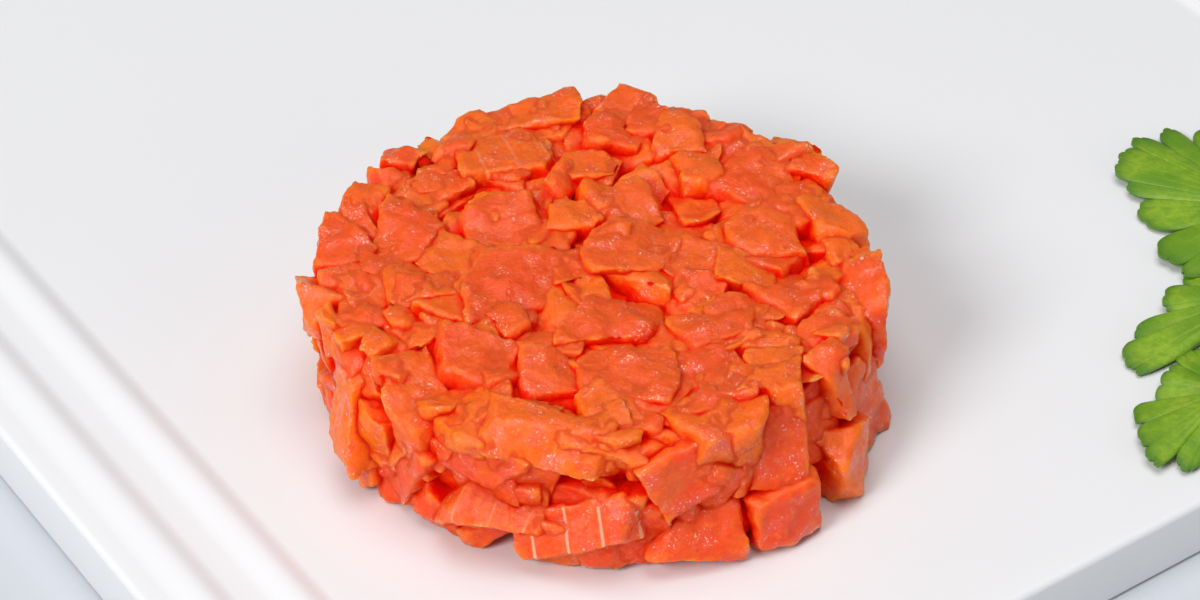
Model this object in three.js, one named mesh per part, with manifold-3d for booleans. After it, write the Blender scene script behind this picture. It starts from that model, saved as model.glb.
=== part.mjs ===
// Salmon tartare on its serving plate: raw salmon chopped into small blocks, pressed in a round ring
// mould and turned out on a flat white plate, beside a sprig of flat-leaf parsley.
// Millimetres, +Z up. The origin is the middle of the plate's underside, with the long side along X.
import * as THREE from "three";
import { mergeVertices } from "three/addons/utils/BufferGeometryUtils.js";
import Module from "manifold-3d";

const wasm = await Module();
wasm.setup();

// ---------------------------------------------------------------- driving dimensions

const PLATE = { length: 260, width: 240, thickness: 12, corner: 5, edge: 1.2 };

// Two low beads run across each end of the plate. inset is from the plate's end to the outer crest.
const BEAD = { count: 2, inset: 8.5, pitch: 12, outerWidth: 5, innerWidth: 4, height: 0.9 };
const BEAD_ROOT = { flanks: 0.02, base: 0.6 }; // how deep its flanks and its base are sunk
const BEAD_END = { stop: 5, taper: 9 }; // its distance from the plate's side, and its taper's length

// The pressed disc: where its middle stands on the plate, the mould's inner radius and the fill height.
const DISC = { x: -43.5, y: -41.5, radius: 44.4, height: 24.6, clearance: 0.3 };

// The chopped pieces. Sizes are means, and spread is how far a piece may differ from them, as a share.
const CHOP = { seed: 20417, length: 12.4, width: 9.6, thickness: 8.2, spread: 0.34, taper: 0.32 };
// The upper pieces lie on a triangular grid, and each lower ring has its pieces round the wall.
const UPPER = { spacing: 8.3, scatter: 1.9, reach: 39.5, lift: 1.5, sink: 0.9, lean: 0.24 };
const RINGS = [
  { height: 4.6, count: 27, depth: 4.6 },
  { height: 12.6, count: 28, depth: 4.9 },
  { height: 19.4, count: 26, depth: 5.6 },
];
const RING_SCATTER = { along: 1.6, out: 0.9, up: 1.5, lean: 0.55 };
// Thin flakes are pressed into the upper face, anywhere within reach of its middle.
const FLAKES = { count: 64, length: 8.8, width: 6.4, thickness: 3.4 };
const FLAKE_SCATTER = { reach: 40, height: 23.6, lift: 0.8, lean: 0.34 };
// Corners that the knife took off, as a share of the way from a piece's middle to the corner.
const CORNER_CUT = { count: 4, near: 0.56, far: 0.88 };
// The faces that the press and the mould's wall left, each piece's a little off its neighbours'.
const PRESS = { offset: 0.9, tilt: 0.1, rimDrop: 1.2, rimWidth: 9 };
const WALL = { offset: 1.2, tilt: 0.2, footBulge: 1.6, flank: 0.28 };
const CORE = { inset: 4.4, depth: 4.0, chamfer: 1.5, sides: 36 };

// Pieces that stand out of the heap. at is the middle's azimuth, distance out and height, size is the
// length, width and thickness, and turned is the long side's heading from the tangent, its climb, and
// how far the upper face leans outwards.
const STANDOUTS = [
  { name: "streaked block", at: [-127, 41.3, 7.4], size: [22, 13, 9], turned: [4, 9, 44] },
  { name: "pale wedge", at: [-145, 41, 7.6], size: [18, 12, 8], turned: [-6, -4, 52] },
  { name: "long flap", at: [-134, 36.6, 20.8], size: [25, 13, 6.5], turned: [-12, -15, 32] },
  { name: "bean", at: [-150, 40.6, 17.6], size: [15, 8, 8], turned: [0, -22, 20] },
  { name: "small cube", at: [-80, 39.4, 21.8], size: [9, 8, 8.5], turned: [25, -8, 12] },
  { name: "upright sliver", at: [-68, 42.6, 20], size: [5.5, 6, 14], turned: [10, 6, 8] },
  { name: "front right chunk", at: [-86, 41.2, 15], size: [11, 9, 14], turned: [4, 6, 10] },
  { name: "foot lump", at: [-87, 45.6, 5.4], size: [12.5, 10, 11], turned: [-12, 8, 12] },
  { name: "right foot lump", at: [-68, 45, 5.6], size: [11, 9, 12], turned: [8, -6, 10] },
  { name: "tall piece", at: [-58, 41, 10.5], size: [10, 9, 18], turned: [8, -6, 6] },
  { name: "front chunk", at: [-106, 41, 16.8], size: [15, 9, 10], turned: [6, 12, 24] },
  { name: "front foot piece", at: [-105, 42.6, 5], size: [14, 9, 10], turned: [-8, -6, 20] },
  { name: "middle foot piece", at: [-115, 41.6, 6], size: [10, 8, 12], turned: [0, 10, 16] },
  { name: "right upper piece", at: [-44, 41.2, 17], size: [11, 9, 13], turned: [4, 8, 4] },
  { name: "rim slab", at: [0, 41.2, 20.8], size: [9, 3.8, 11], turned: [20, 4, -6] },
  { name: "right rim lump", at: [-18, 39.4, 20.4], size: [11, 9, 9], turned: [10, 6, -6] },
  { name: "left lump", at: [152, 43, 18.8], size: [11, 9, 8], turned: [4, 6, 12] },
  { name: "left upper piece", at: [138, 41, 19.4], size: [12, 9, 11], turned: [-6, 8, 10] },
  { name: "left back piece", at: [124, 40.6, 19.8], size: [9, 8, 11], turned: [10, -8, 8] },
  { name: "left bright piece", at: [176, 43.2, 13.2], size: [9, 7, 15], turned: [8, 14, 8] },
  { name: "left foot piece", at: [-168, 40, 8.2], size: [9, 9, 16], turned: [-10, -24, 14] },
  { name: "left low piece", at: [172, 39.4, 7.2], size: [11, 9, 12], turned: [8, -10, 10] },
  { name: "first tooth", at: [105.5, 42.4, 21.2], size: [5.5, 6, 11], turned: [20, -6, 4] },
  { name: "second tooth", at: [113, 41.8, 20.4], size: [5, 6, 11], turned: [-12, 10, 6] },
  { name: "third tooth", at: [95, 37.6, 21.4], size: [7, 5, 10], turned: [10, 4, 2] },
  { name: "back ridge", at: [72, 40.6, 21.8], size: [19, 8, 7], turned: [2, -5, -6] },
  { name: "red cap", at: [48, 41.2, 21.8], size: [10.5, 7, 7], turned: [-8, 4, -10] },
  { name: "orange lump", at: [33, 36.2, 21.8], size: [8.5, 11, 9], turned: [22, 2, 8] },
  { name: "round lump", at: [21, 29.3, 21.4], size: [7.5, 11, 8], turned: [39, 6, 4] },
  { name: "pale shelf", at: [51, 34.1, 22.5], size: [11.5, 9, 6], turned: [14, 4, 3] },
  { name: "back slab", at: [85, 31.7, 22], size: [16, 13, 7], turned: [-10, -3, 2] },
  { name: "right back slab", at: [3, 33.3, 21.8], size: [15, 14, 7], turned: [17, 4, -3] },
  { name: "right slab", at: [-20, 27, 22.2], size: [13.5, 12, 6.5], turned: [75, 3, 3] },
  { name: "middle slab", at: [6, 6.3, 21.9], size: [15, 13, 7], turned: [34, -3, 4] },
  { name: "hole slab", at: [112, 18.9, 21.7], size: [14, 12.5, 7], turned: [-51, 4, -3] },
  { name: "broad slab", at: [168, 13, 22.2], size: [18, 12.5, 6.5], turned: [79, -2, 3] },
  { name: "front middle slab", at: [-114, 13.8, 22.2], size: [16.5, 12, 7], turned: [-6, 2, 6] },
  { name: "left slab", at: [133, 31.1, 21.9], size: [10.5, 13, 7], turned: [82, 3, -5] },
  { name: "bright block", at: [56, 16.2, 21.4], size: [8, 8, 8], turned: [-11, 5, -6] },
  { name: "small wedge", at: [72, 22.1, 21.6], size: [9.5, 5.5, 7], turned: [33, 10, 10] },
  { name: "front right slab", at: [-77, 23.9, 22.4], size: [14, 9, 6], turned: [-38, -4, 6] },
  { name: "right small slab", at: [-40, 23.8, 22.1], size: [10, 8.5, 6], turned: [76, -4, 2] },
  { name: "front slab", at: [-114, 27.2, 21.9], size: [16, 12, 7], turned: [-21, 3, 7] },
  { name: "small slab", at: [-145, 21, 22.3], size: [11, 7.5, 6], turned: [15, 3, 8] },
  { name: "diamond", at: [-139, 28, 22], size: [11, 8.5, 6], turned: [24, -4, 5] },
  { name: "left front lump", at: [-165, 30.2, 21.2], size: [14, 10, 8], turned: [16, 6, 4] },
  { name: "sunken piece", at: [-69, 34.4, 20.6], size: [8.5, 10, 6], turned: [-76, 2, 2] },
  { name: "back right rim piece", at: [9, 38.8, 20.7], size: [10, 7, 9], turned: [21, 4, 4] },
];
const PIECE_DRAWS = 34; // how many random numbers a piece takes for its own faces
const STANDOUT_CLEAR = 3.8; // chopped pieces have their middles at least this far from a standout's
const PROUD = { up: 1.1, out: 4 }; // how far a standout may pass the press and the wall

// The parsley: three leaflets fanned out from a stalk, lying on their tips, with their middles crown high.
const PARSLEY = { thickness: 0.6, crown: 2.8, tip: 1.35, wave: 0.6, waves: 5 };
const TOOTH_SHAPE = { flat: 1.7, round: 0.42 };
// Each leaflet's outline goes once round its middle, from notch to notch. start is the first notch's
// heading in degrees and its distance from the middle. A tooth is its tip's heading and distance, then
// the next notch's. An even row of teeth, its sizes running from the first to the last, closes the turn.
const LEAFLETS = [
  {
    x: DISC.x + 117,
    y: DISC.y - 31.6,
    start: [79, 21],
    teeth: [
      [83.6, 28.2, 91.5, 22],
      [98.5, 28.8, 102.4, 26],
      [110.5, 27.8, 111.9, 27.2],
      [117.3, 27, 123.6, 23.5],
      [127.2, 23.6, 132.4, 18.7],
      [143, 21.3, 162.2, 12.2],
      [177.6, 22.6, 188.8, 20.5],
      [193.3, 23.3, 206, 11],
    ],
    row: { count: 9, tip: [15, 27], notch: [10, 20] },
  },
  {
    x: DISC.x + 101.3,
    y: DISC.y - 48.4,
    start: [129.7, 11.7],
    teeth: [
      [151.5, 17, 159.5, 15.6],
      [168.4, 24.3, 169.5, 24],
      [179.1, 29.3, 181.8, 28.4],
      [184, 29.3, 187.6, 15.5],
    ],
    row: { count: 10, tip: [14, 14], notch: [10, 10] },
  },
  {
    x: DISC.x + 79.2,
    y: DISC.y - 63.6,
    start: [63.1, 12],
    teeth: [
      [75, 13.2, 92, 10.8],
      [118, 11, 146, 11.9],
      [165.7, 16.2, 168.2, 12.9],
      [184.4, 18.9, 185.9, 18.3],
      [192, 20.7, 193.3, 20.3],
      [196.8, 21, 198.5, 13.5],
      [207, 19, 214, 12.5],
    ],
    row: { count: 8, tip: [14, 13], notch: [11, 10] },
  },
];
const LEAFLET_MESH = { rings: 2, steps: 4 }; // steps are for each tooth
const STALK = { x: DISC.x + 146, y: DISC.y - 66, radius: 0.9, arch: 1.8, bend: -1.2 };
const STALK_MESH = { sides: 8, steps: 10 };
const FORK = { x: DISC.x + 122, y: DISC.y - 58, lift: 1 };

// ---------------------------------------------------------------- small helpers

const degrees = (angle) => (angle * Math.PI) / 180;

// A repeatable stream of numbers from 0 to 1 (Lehmer's generator).
function randomStream(seed) {
  let state = seed;
  return () => {
    state = (state * 48271) % 2147483647;
    return state / 2147483647;
  };
}

// A closed three.js geometry as a solid that can be joined and cut.
function solidOf(geometry) {
  const bare = geometry.index ? geometry.toNonIndexed() : geometry.clone();
  bare.deleteAttribute("normal");
  bare.deleteAttribute("uv");
  const merged = mergeVertices(bare, 1e-4);
  return new wasm.Manifold(
    new wasm.Mesh({
      numProp: 3,
      vertProperties: merged.attributes.position.array,
      triVerts: new Uint32Array(merged.index.array),
    }),
  );
}

function geometryOf(solid) {
  const mesh = solid.getMesh();
  const geometry = new THREE.BufferGeometry();
  geometry.setAttribute("position", new THREE.BufferAttribute(mesh.vertProperties, 3));
  geometry.setIndex(new THREE.BufferAttribute(mesh.triVerts, 1));
  geometry.computeVertexNormals();
  return geometry;
}

// The geometry through rows of points. Every row has as many points and goes the same way round,
// and the first and last rows are closed by fans.
function skinOf(rows) {
  const count = rows[0].length;
  const corners = rows.flat().flatMap((p) => p.toArray());
  const faces = [];
  rows.slice(1).forEach((_, r) => {
    for (let i = 0; i < count; i++) {
      const a = r * count + i;
      const b = r * count + ((i + 1) % count);
      faces.push(a, b, b + count, a, b + count, a + count);
    }
  });
  const last = (rows.length - 1) * count;
  for (let i = 1; i < count - 1; i++) {
    faces.push(0, i + 1, i);
    faces.push(last, last + i, last + i + 1);
  }
  const geometry = new THREE.BufferGeometry();
  geometry.setAttribute("position", new THREE.Float32BufferAttribute(corners, 3));
  geometry.setIndex(faces);
  return geometry;
}

// ---------------------------------------------------------------- the plate

function roundedRectangle(length, width, corner) {
  const shape = new THREE.Shape();
  const x = length / 2 - corner;
  const y = width / 2 - corner;
  shape.absarc(x, -y, corner, -Math.PI / 2, 0);
  shape.absarc(x, y, corner, 0, Math.PI / 2);
  shape.absarc(-x, y, corner, Math.PI / 2, Math.PI);
  shape.absarc(-x, -y, corner, Math.PI, Math.PI * 1.5);
  return shape;
}

// One bead, its crest at x: a low rounded ridge that sinks into the plate at both its ends.
function beadSolid(x, towardsMiddle) {
  const end = PLATE.width / 2 - BEAD_END.stop;
  const stations = [0, 0.25, 0.5, 0.75, 1];
  const ends = stations.map((s) => ({ y: -end + s * BEAD_END.taper, rise: Math.sin((s * Math.PI) / 2) }));
  const all = [...ends, ...ends.map(({ y, rise }) => ({ y: -y, rise })).reverse()];
  const rows = all.map(({ y, rise }) => {
    const row = [];
    for (let share = -1; share <= 1; share += 0.25) {
      const side = (share < 0 ? BEAD.outerWidth : BEAD.innerWidth) * share;
      const swell = BEAD.height * rise * Math.cos((share * Math.PI) / 2) ** 2;
      const z = PLATE.thickness + swell - BEAD_ROOT.flanks;
      row.push(new THREE.Vector3(x + towardsMiddle * side, y, z));
    }
    row.push(new THREE.Vector3(x + towardsMiddle * BEAD.innerWidth, y, PLATE.thickness - BEAD_ROOT.base));
    row.push(new THREE.Vector3(x - towardsMiddle * BEAD.outerWidth, y, PLATE.thickness - BEAD_ROOT.base));
    return towardsMiddle > 0 ? row : row.reverse();
  });
  return solidOf(skinOf(rows));
}

function plateSolid() {
  const rounded = 2 * PLATE.edge;
  const slab = new THREE.ExtrudeGeometry(
    roundedRectangle(PLATE.length - rounded, PLATE.width - rounded, PLATE.corner - PLATE.edge),
    {
      depth: PLATE.thickness - rounded,
      curveSegments: 5,
      bevelSize: PLATE.edge,
      bevelThickness: PLATE.edge,
      bevelSegments: 3,
    },
  );
  slab.translate(0, 0, PLATE.edge);
  let solid = solidOf(slab);
  for (const side of [-1, 1]) {
    for (let i = 0; i < BEAD.count; i++) {
      const crest = side * (PLATE.length / 2 - BEAD.inset - i * BEAD.pitch);
      solid = solid.add(beadSolid(crest, -side));
    }
  }
  return solid;
}

// ---------------------------------------------------------------- the chopped pieces

// Every piece's middle, size, turn and own draws, with the disc's foot at the origin.
function layPieces() {
  const random = randomStream(CHOP.seed);
  const signed = () => 2 * random() - 1;
  const pieces = [];
  const lay = (kind, place, size, angles) => {
    const draws = Array.from({ length: PIECE_DRAWS }, signed);
    const piece = { kind, middle: new THREE.Vector3(...place), size, angles, draws };
    const near = (other) => other.middle.distanceTo(piece.middle) < STANDOUT_CLEAR;
    const crowded = pieces.some((other) => other.kind === "standout" && near(other));
    if (kind !== "chopped" || !crowded) pieces.push(piece);
  };
  const chopped = () => {
    const swell = 1 + 0.5 * CHOP.spread * signed();
    return [CHOP.length, CHOP.width, CHOP.thickness].map((s) => s * swell * (1 + CHOP.spread * signed()));
  };

  for (const { at, size, turned } of STANDOUTS) {
    const [azimuth, out, up] = at;
    const [heading, climb, lean] = turned;
    const place = [out * Math.cos(degrees(azimuth)), out * Math.sin(degrees(azimuth)), up];
    lay("standout", place, size, [-lean, -climb, azimuth + 90 + heading].map(degrees));
  }

  const rowStep = UPPER.spacing * Math.sqrt(0.75);
  const rows = Math.ceil(DISC.radius / rowStep);
  for (let row = -rows; row <= rows; row++) {
    for (let column = -rows; column <= rows; column++) {
      const x = (column + (row % 2 ? 0.5 : 0)) * UPPER.spacing + UPPER.scatter * signed();
      const y = row * rowStep + UPPER.scatter * signed();
      const size = chopped();
      const top = DISC.height - UPPER.sink + UPPER.lift * signed();
      const angles = [UPPER.lean * signed(), UPPER.lean * signed(), Math.PI * signed()];
      if (Math.hypot(x, y) > UPPER.reach) continue;
      lay("chopped", [x, y, top - size[2] / 2], size, angles);
    }
  }

  for (const { height, count, depth } of RINGS) {
    for (let i = 0; i < count; i++) {
      const out = DISC.radius - depth + RING_SCATTER.out * signed();
      const at = (2 * Math.PI * i) / count + (RING_SCATTER.along / DISC.radius) * signed();
      const up = height + RING_SCATTER.up * signed();
      const size = chopped();
      const angles = [signed(), signed(), signed()].map((draw) => RING_SCATTER.lean * draw);
      angles[2] += at + Math.PI / 2;
      lay("chopped", [out * Math.cos(at), out * Math.sin(at), up], size, angles);
    }
  }

  for (let i = 0; i < FLAKES.count; i++) {
    const out = FLAKE_SCATTER.reach * Math.sqrt(Math.abs(signed()));
    const at = Math.PI * signed();
    const up = FLAKE_SCATTER.height + FLAKE_SCATTER.lift * signed();
    const means = [FLAKES.length, FLAKES.width, FLAKES.thickness];
    const size = means.map((mean) => mean * (1 + CHOP.spread * signed()));
    const angles = [FLAKE_SCATTER.lean * signed(), FLAKE_SCATTER.lean * signed(), Math.PI * signed()];
    lay("flake", [out * Math.cos(at), out * Math.sin(at), up], size, angles);
  }
  return pieces;
}

// The planes that bound a piece, each {normal, point}, with what lies beyond the plane cut away.
function facesOf({ kind, middle, size, angles, draws }) {
  const faces = [];
  const standsOut = kind === "standout";
  const [wallOffset, wallTurn, wallTilt, ...left] = draws;
  const draw = () => left.pop();
  const turned = new THREE.Euler(...angles, "ZYX");
  const axes = [0, 1, 2].map((axis) => new THREE.Vector3().setComponent(axis, 1).applyEuler(turned));

  // six knife cuts, no two of them quite parallel
  for (let axis = 0; axis < 3; axis++) {
    for (const side of [-1, 1]) {
      const normal = axes[axis].clone().multiplyScalar(side);
      normal.addScaledVector(axes[(axis + 1) % 3], CHOP.taper * draw());
      normal.addScaledVector(axes[(axis + 2) % 3], CHOP.taper * draw());
      const point = middle.clone().addScaledVector(axes[axis], (side * size[axis]) / 2);
      faces.push({ normal: normal.normalize(), point });
    }
  }

  // corners taken off
  for (let cut = 0; cut < CORNER_CUT.count; cut++) {
    const toCorner = axes.reduce(
      (sum, axis, i) => sum.addScaledVector(axis, (Math.sign(draw()) * size[i]) / 2),
      new THREE.Vector3(),
    );
    const share = CORNER_CUT.near + (CORNER_CUT.far - CORNER_CUT.near) * Math.abs(draw());
    const point = middle.clone().addScaledVector(toCorner, share);
    faces.push({ normal: toCorner.clone().normalize(), point });
  }

  // the plate
  const ground = new THREE.Vector3(0, 0, DISC.clearance);
  faces.push({ normal: new THREE.Vector3(0, 0, -1), point: ground });

  // the press
  const radius = Math.hypot(middle.x, middle.y);
  const azimuth = Math.atan2(middle.y, middle.x);
  const rim = Math.max(0, (radius - DISC.radius + PRESS.rimWidth) / PRESS.rimWidth);
  const pressed = PRESS.offset * draw() - PRESS.rimDrop * rim * rim;
  const top = DISC.height + (standsOut ? PROUD.up : pressed);
  faces.push({
    normal: new THREE.Vector3(PRESS.tilt * draw(), PRESS.tilt * draw(), 1).normalize(),
    point: new THREE.Vector3(middle.x, middle.y, top),
  });

  // the mould's wall, and its next stretches on both sides
  const bulge = WALL.footBulge * (1 - middle.z / DISC.height);
  const wall = DISC.radius + bulge + (standsOut ? PROUD.out : WALL.offset * wallOffset);
  for (const [flank, tilt] of [[-WALL.flank, 0], [0, WALL.tilt], [WALL.flank, 0]]) {
    const at = azimuth + flank;
    const facing = at + tilt * wallTurn;
    faces.push({
      normal: new THREE.Vector3(Math.cos(facing), Math.sin(facing), tilt * wallTilt).normalize(),
      point: new THREE.Vector3(wall * Math.cos(at), wall * Math.sin(at), middle.z),
    });
  }
  return faces;
}

function pieceSolid(piece) {
  const side = 3 * Math.max(...piece.size);
  const block = new THREE.BoxGeometry(side, side, side);
  let solid = solidOf(block.translate(...piece.middle.toArray()));
  for (const { normal, point } of facesOf(piece)) {
    solid = solid.trimByPlane(normal.clone().negate().toArray(), -normal.dot(point));
  }
  return solid;
}

// The mass behind the pieces that show.
function coreSolid() {
  const radius = DISC.radius - CORE.inset;
  const top = DISC.height - CORE.depth;
  const outline = [
    [0, DISC.clearance],
    [radius, DISC.clearance],
    [radius, top - CORE.chamfer],
    [radius - CORE.chamfer, top],
    [0, top],
  ].map(([r, z]) => new THREE.Vector2(r, z));
  const lathe = new THREE.LatheGeometry(outline, CORE.sides).rotateX(Math.PI / 2);
  return solidOf(lathe);
}

// The heap is the largest body of the union, so a hollow shut in between pieces is filled.
function tartareSolid() {
  const pieces = layPieces().map(pieceSolid);
  const whole = wasm.Manifold.union([coreSolid(), ...pieces.filter((solid) => !solid.isEmpty())]);
  return whole.decompose().reduce((a, b) => (b.volume() > a.volume() ? b : a));
}

// ---------------------------------------------------------------- the parsley

// A leaflet's teeth, each with the notches on its two sides as [heading, distance].
function teethOf({ start, teeth, row }) {
  const all = [];
  let notch = start;
  for (const [tipHeading, tipOut, heading, out] of teeth) {
    all.push({ from: notch, tip: [tipHeading, tipOut], to: [heading, out] });
    notch = [heading, out];
  }
  const mean = ([first, last], share) => first + (last - first) * share;
  const step = (start[0] + 360 - notch[0]) / row.count;
  for (let i = 0; i < row.count; i++) {
    const closes = i === row.count - 1;
    const to = [notch[0] + step, closes ? start[1] : mean(row.notch, (i + 1) / row.count)];
    all.push({ from: notch, tip: [notch[0] + step / 2, mean(row.tip, (i + 0.5) / row.count)], to });
    notch = to;
  }
  return all;
}

// A point of a tooth's outline as [heading, distance], where share goes from 0 to 1 across the tooth.
function toothPoint({ from, tip, to }, share) {
  const off = Math.abs(1 - 2 * share);
  const [lowHeading, lowOut] = share < 0.5 ? from : to;
  const rounded = (1 - off ** TOOTH_SHAPE.flat) ** TOOTH_SHAPE.round;
  return [degrees(tip[0] + (lowHeading - tip[0]) * off), lowOut + (tip[1] - lowOut) * rounded];
}

// A thin wavy solid, highest in its middle. Its upper and lower faces are split into triangles alike,
// and faceSize is how many corners each has.
function leafletSolid(leaflet) {
  const { x, y } = leaflet;
  const { thickness, crown, tip, wave, waves } = PARSLEY;
  const { rings, steps } = LEAFLET_MESH;
  const shares = Array.from({ length: steps }, (_, step) => step / steps);
  const outline = teethOf(leaflet).flatMap((tooth) => shares.map((share) => toothPoint(tooth, share)));
  const count = outline.length;
  const corners = [];
  const faces = [];
  const faceSize = 1 + rings * count;
  for (const up of [0.5, -0.5]) {
    const base = PLATE.thickness + thickness * up;
    corners.push(x, y, base + crown);
    for (let ring = 1; ring <= rings; ring++) {
      const share = ring / rings;
      for (const [angle, reach] of outline) {
        const ripple = wave * share * Math.sin(waves * angle + x);
        const rise = tip + (crown - tip) * (1 - share ** 1.5) + ripple;
        corners.push(x + reach * share * Math.cos(angle), y + reach * share * Math.sin(angle), base + rise);
      }
    }
  }
  const corner = (ring, i) => 1 + (ring - 1) * count + (i % count);
  const both = (a, b, c) => faces.push(a, b, c, a + faceSize, c + faceSize, b + faceSize);
  for (let i = 0; i < count; i++) {
    both(0, corner(1, i), corner(1, i + 1));
    for (let ring = 1; ring < rings; ring++) {
      both(corner(ring, i), corner(ring + 1, i), corner(ring + 1, i + 1));
      both(corner(ring, i), corner(ring + 1, i + 1), corner(ring, i + 1));
    }
    const edge = corner(rings, i);
    const next = corner(rings, i + 1);
    faces.push(edge, edge + faceSize, next + faceSize, edge, next + faceSize, next);
  }
  const geometry = new THREE.BufferGeometry();
  geometry.setAttribute("position", new THREE.Float32BufferAttribute(corners, 3));
  geometry.setIndex(faces);
  return solidOf(geometry);
}

function stemSolid(points) {
  const section = new THREE.Shape();
  for (let side = 0; side < STALK_MESH.sides; side++) {
    const angle = (2 * Math.PI * side) / STALK_MESH.sides;
    const place = [STALK.radius * Math.cos(angle), STALK.radius * Math.sin(angle)];
    if (side === 0) section.moveTo(...place);
    else section.lineTo(...place);
  }
  const extrudePath = new THREE.CatmullRomCurve3(points);
  return solidOf(new THREE.ExtrudeGeometry(section, { steps: STALK_MESH.steps, extrudePath }));
}

function parsleySolid() {
  const low = PLATE.thickness + DISC.clearance + STALK.radius;
  const end = new THREE.Vector3(STALK.x, STALK.y, low);
  const fork = new THREE.Vector3(FORK.x, FORK.y, low + FORK.lift);
  const stems = LEAFLETS.map(({ x, y }) => {
    const middle = new THREE.Vector3(x, y, PLATE.thickness + PARSLEY.crown);
    const between = fork.clone().lerp(middle, 0.5).setZ(low + STALK.arch);
    return stemSolid([fork, between, middle]);
  });
  const bend = end.clone().lerp(fork, 0.5).add(new THREE.Vector3(0, STALK.bend, 0));
  const pastFork = fork.clone().lerp(end, -STALK.radius / fork.distanceTo(end));
  return wasm.Manifold.union([...LEAFLETS.map(leafletSolid), ...stems, stemSolid([end, bend, pastFork])]);
}

// ---------------------------------------------------------------- model

const materials = {
  plate: new THREE.MeshStandardMaterial({ color: 0xeeeef0, roughness: 0.4, metalness: 0 }),
  salmon: new THREE.MeshStandardMaterial({ color: 0xee6432, roughness: 0.35, metalness: 0 }),
  parsley: new THREE.MeshStandardMaterial({ color: 0x76a51d, roughness: 0.5, metalness: 0 }),
};

function meshOf(name, solid, material) {
  const mesh = new THREE.Mesh(geometryOf(solid), material);
  mesh.name = name;
  return mesh;
}

const model = new THREE.Group();
model.name = "salmon_tartare_on_plate";
model.add(meshOf("plate", plateSolid(), materials.plate));

const tartare = meshOf("salmon_tartare", tartareSolid(), materials.salmon);
tartare.position.set(DISC.x, DISC.y, PLATE.thickness);
model.add(tartare);

model.add(meshOf("parsley", parsleySolid(), materials.parsley));

export default model;
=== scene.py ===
# %% [markdown]
# # Salmon tartare on its plate
# Raw salmon is chopped into small blocks, seasoned, and pressed into a ring mould on a cold plate.
# When the ring comes off, the cake keeps the ring's outline, but every piece keeps its own cut faces,
# so the top is a rough mosaic and the side is a wall of wedges, lumps and slivers.
#
# The script builds it in that order: the frame, the camera, the light, the plate, the chopped
# pieces, what lies behind them, and the sprig of parsley.

# %% Load the frame
import math

import bpy
from mathutils import Euler, Matrix, Vector
from mathutils.bvhtree import BVHTree


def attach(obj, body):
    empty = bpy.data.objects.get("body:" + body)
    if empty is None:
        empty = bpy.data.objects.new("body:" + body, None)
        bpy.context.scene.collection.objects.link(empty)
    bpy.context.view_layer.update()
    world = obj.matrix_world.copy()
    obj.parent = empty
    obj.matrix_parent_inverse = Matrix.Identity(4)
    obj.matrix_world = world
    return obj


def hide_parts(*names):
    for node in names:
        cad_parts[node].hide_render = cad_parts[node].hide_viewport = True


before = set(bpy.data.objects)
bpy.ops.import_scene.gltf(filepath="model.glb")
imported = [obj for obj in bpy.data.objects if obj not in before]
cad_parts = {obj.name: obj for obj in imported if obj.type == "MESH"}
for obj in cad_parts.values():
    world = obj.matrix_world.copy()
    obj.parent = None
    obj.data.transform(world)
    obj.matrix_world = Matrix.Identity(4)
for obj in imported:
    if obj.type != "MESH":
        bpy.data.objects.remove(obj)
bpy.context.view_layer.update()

bpy.ops.object.select_all(action="DESELECT")
print("nodes:", sorted(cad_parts))

# %% [markdown]
# ## Sizes
# A cook thinks of this dish in millimetres, and Blender works in metres, so one constant joins the
# two. The plate's middle is the origin, and the cake stands off to one side of it.

# %% Sizes of the plate and the cake
MM = 0.001
SMOOTH_BELOW = math.radians(50)
PLATE = {"length": 260, "width": 240, "thickness": 12, "corner": 5, "edge": 1.2}
DISC = {"x": -43.5, "y": -41.5, "radius": 44.4, "height": 24.6, "clearance": 0.3}
DISC_FOOT = Vector((DISC["x"], DISC["y"], PLATE["thickness"])) * MM
print("the cake stands at", tuple(round(c, 4) for c in DISC_FOOT))

# %% [markdown]
# ## The camera
# The picture was taken by someone sitting at the table: about 40 degrees above the plate, from the
# plate's near left corner, with a long lens that keeps the plate's sides nearly parallel. The camera
# is placed first, so that everything after it can be judged through the same lens.

# %% Set up the camera
CAMERA_FROM_DISC = Vector((-241.93, -348.83, 372.58)) * MM
VIEW_AXIS = Vector((0.43703, 0.62915, -0.64279))
SENSOR = 36
FOCAL_PIXELS = 3460
PICTURE_WIDTH = 1200

camera_data = bpy.data.cameras.new("camera")
camera_data.sensor_width = SENSOR
camera_data.lens = SENSOR * FOCAL_PIXELS / PICTURE_WIDTH
camera_data.clip_start = 0.01
camera = bpy.data.objects.new("camera", camera_data)
camera.location = DISC_FOOT + CAMERA_FROM_DISC
camera.rotation_euler = VIEW_AXIS.to_track_quat("-Z", "Y").to_euler()
bpy.context.scene.collection.objects.link(camera)
bpy.context.scene.camera = camera
print("lens", round(camera_data.lens, 1), "mm")

# %% [markdown]
# ## The light
# The shadow lies to the right of the cake and is soft, and both its left side and its front are
# bright. So there is a soft light at the camera's left shoulder, a large one overhead that keeps the
# plate evenly white, and a weak, low one at the right, which keeps the shaded side from going dark.
# Three disks do that, with a little light from a pale world for the room.

# %% Set up the light
LOOK = Vector((VIEW_AXIS.x, VIEW_AXIS.y, 0)).normalized()
RIGHT = LOOK.cross(Vector((0, 0, 1))).normalized()
UP = Vector((0, 0, 1))
# heading is from the camera's side, negative to the left. Distance and size are in metres
LIGHTS = {
    "shoulder": {"heading": -44, "elevation": 38, "distance": 2.4, "size": 1.0, "power": 40.0},
    "overhead": {"heading": 0, "elevation": 88, "distance": 1.8, "size": 1.5, "power": 19.5},
    "fill": {"heading": 52, "elevation": 12, "distance": 2.0, "size": 1.6, "power": 6.0},
}
ROOM = 0.17

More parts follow.
